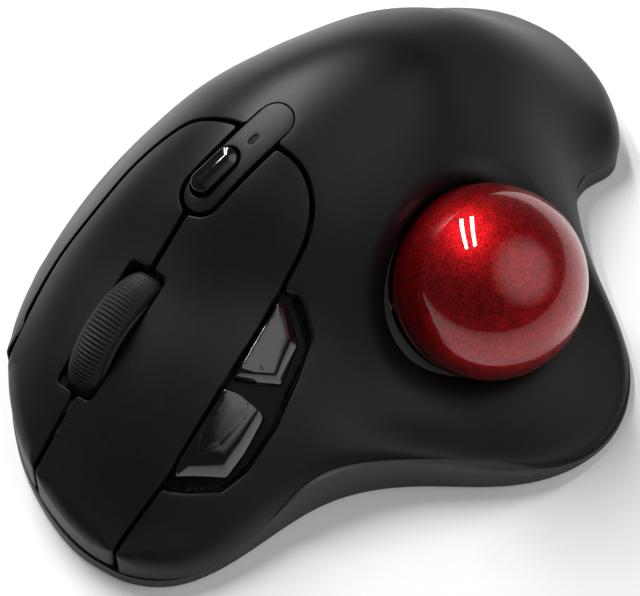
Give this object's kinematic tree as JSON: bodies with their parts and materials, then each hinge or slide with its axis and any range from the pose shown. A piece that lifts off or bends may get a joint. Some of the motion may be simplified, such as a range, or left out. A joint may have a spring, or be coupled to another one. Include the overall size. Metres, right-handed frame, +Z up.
{
  "type": "trackball mouse",
  "caption": "Right-handed wireless thumb trackball mouse with a palm shell, a ball in a tilted socket, main and side buttons, a click wheel and a battery bay.",
  "frame": {"origin": "on the desk under the middle of the mouse's bounding box", "axes": "+X the user's right, +Y the front with the buttons, +Z up"},
  "size_m": [0.1002, 0.1329, 0.0468],
  "materials": {
    "shell": "fine soft-touch satin",
    "case": "fine moulded texture",
    "gloss": "high gloss black",
    "bezel": "gloss black",
    "ball": "red pearl under clear lacquer",
    "rubber": "matte rubber",
    "inner_plastic": "plain moulded",
    "white_plastic": "plain moulded",
    "board": "green solder resist",
    "chip": "epoxy",
    "steel": "plated",
    "brass": "plated",
    "ceramic": "polished",
    "lens": "clear",
    "light": "smoked clear",
    "cell": "sleeve"
  },
  "bodies": {
    "root": {"top_shell": "shell", "lower_case": "case", "centre_strip": "shell", "status_light": "light", "dpi_board": "board", "dpi_switch": "chip", "side_button_bezel": "bezel", "side_board": "board", "side_switches": "chip", "ball_cup": "inner_plastic", "support_beads": "ceramic", "sensor_lens": "lens", "sensor_chip": "chip", "sensor_board": "board", "wheel_springs": "steel", "main_board": "board", "controller_chip": "chip", "left_switch": "chip", "right_switch": "chip", "wheel_click_switch": "chip", "board_screws": "steel", "inner_frame": "inner_plastic", "button_pins": "steel", "battery_cell": "cell", "battery_contacts": "brass", "battery_spring": "steel", "power_switch_body": "inner_plastic", "rubber_feet": "rubber", "case_screws": "steel"},
    "left_click_body": {"left_button": "shell"},
    "right_click_body": {"right_button": "shell"},
    "dpi_body": {"dpi_button": "gloss"},
    "forward_body": {"forward_button": "gloss"},
    "back_body": {"back_button": "gloss"},
    "carrier": {"wheel_carrier": "white_plastic", "wheel_encoder": "inner_plastic"},
    "wheel": {"wheel_tyre": "rubber", "wheel_hub": "inner_plastic", "wheel_axle": "steel"},
    "ball": {"trackball": "ball"},
    "door": {"battery_door": "case"},
    "power_knob": {"power_switch_knob": "white_plastic"},
    "receiver": {"receiver_cap": "case", "receiver_plug": "steel"}
  },
  "joints": [
    {"name": "left_click", "type": "hinge", "parent": "root", "child": "left_click_body", "pos_m": [0.012, 0.0075, 0.03], "axis": [1, 0, 0], "range_deg": [-0.8, 0], "stiffness_Nm_per_rad": 1.5, "springref_deg": 1.15},
    {"name": "right_click", "type": "hinge", "parent": "root", "child": "right_click_body", "pos_m": [0.031, 0.0075, 0.03], "axis": [1, 0, 0], "range_deg": [-0.8, 0], "stiffness_Nm_per_rad": 1.5, "springref_deg": 1.15},
    {"name": "dpi_press", "type": "slide", "parent": "root", "child": "dpi_body", "axis": [0, -0.3499, -0.9368], "range_m": [0, 0.0004], "stiffness_N_per_m": 900, "springref_m": -0.0004},
    {"name": "forward_press", "type": "slide", "parent": "root", "child": "forward_body", "axis": [0.5801, -0.3401, -0.7401], "range_m": [0, 0.0005], "stiffness_N_per_m": 900, "springref_m": -0.0004},
    {"name": "back_press", "type": "slide", "parent": "root", "child": "back_body", "axis": [0.5801, -0.3401, -0.7401], "range_m": [0, 0.0005], "stiffness_N_per_m": 900, "springref_m": -0.0004},
    {"name": "wheel_click", "type": "slide", "parent": "root", "child": "carrier", "axis": [0, 0, -1], "range_m": [0, 0.0005], "stiffness_N_per_m": 900, "springref_m": -0.0006, "deforming": ["wheel_springs"]},
    {"name": "wheel_spin", "type": "hinge", "parent": "carrier", "child": "wheel", "pos_m": [0.0233, 0.0364, 0.0193], "axis": [1, 0, 0], "continuous": true},
    {"name": "ball_spin", "type": "hinge", "parent": "root", "child": "ball", "pos_m": [-0.0215, -0.008, 0.022], "axis": [0.7694, 0, 0.6388], "continuous": true},
    {"name": "battery_door_swing", "type": "hinge", "parent": "root", "child": "door", "pos_m": [0.02, 0.008, 0.0015], "axis": [1, 0, 0], "range_deg": [0, 75]},
    {"name": "power_slide", "type": "slide", "parent": "root", "child": "power_knob", "axis": [0, 1, 0], "range_m": [0, 0.003]},
    {"name": "receiver_pull", "type": "slide", "parent": "root", "child": "receiver", "axis": [0, 0, -1], "range_m": [0, 0.018]}
  ]
}
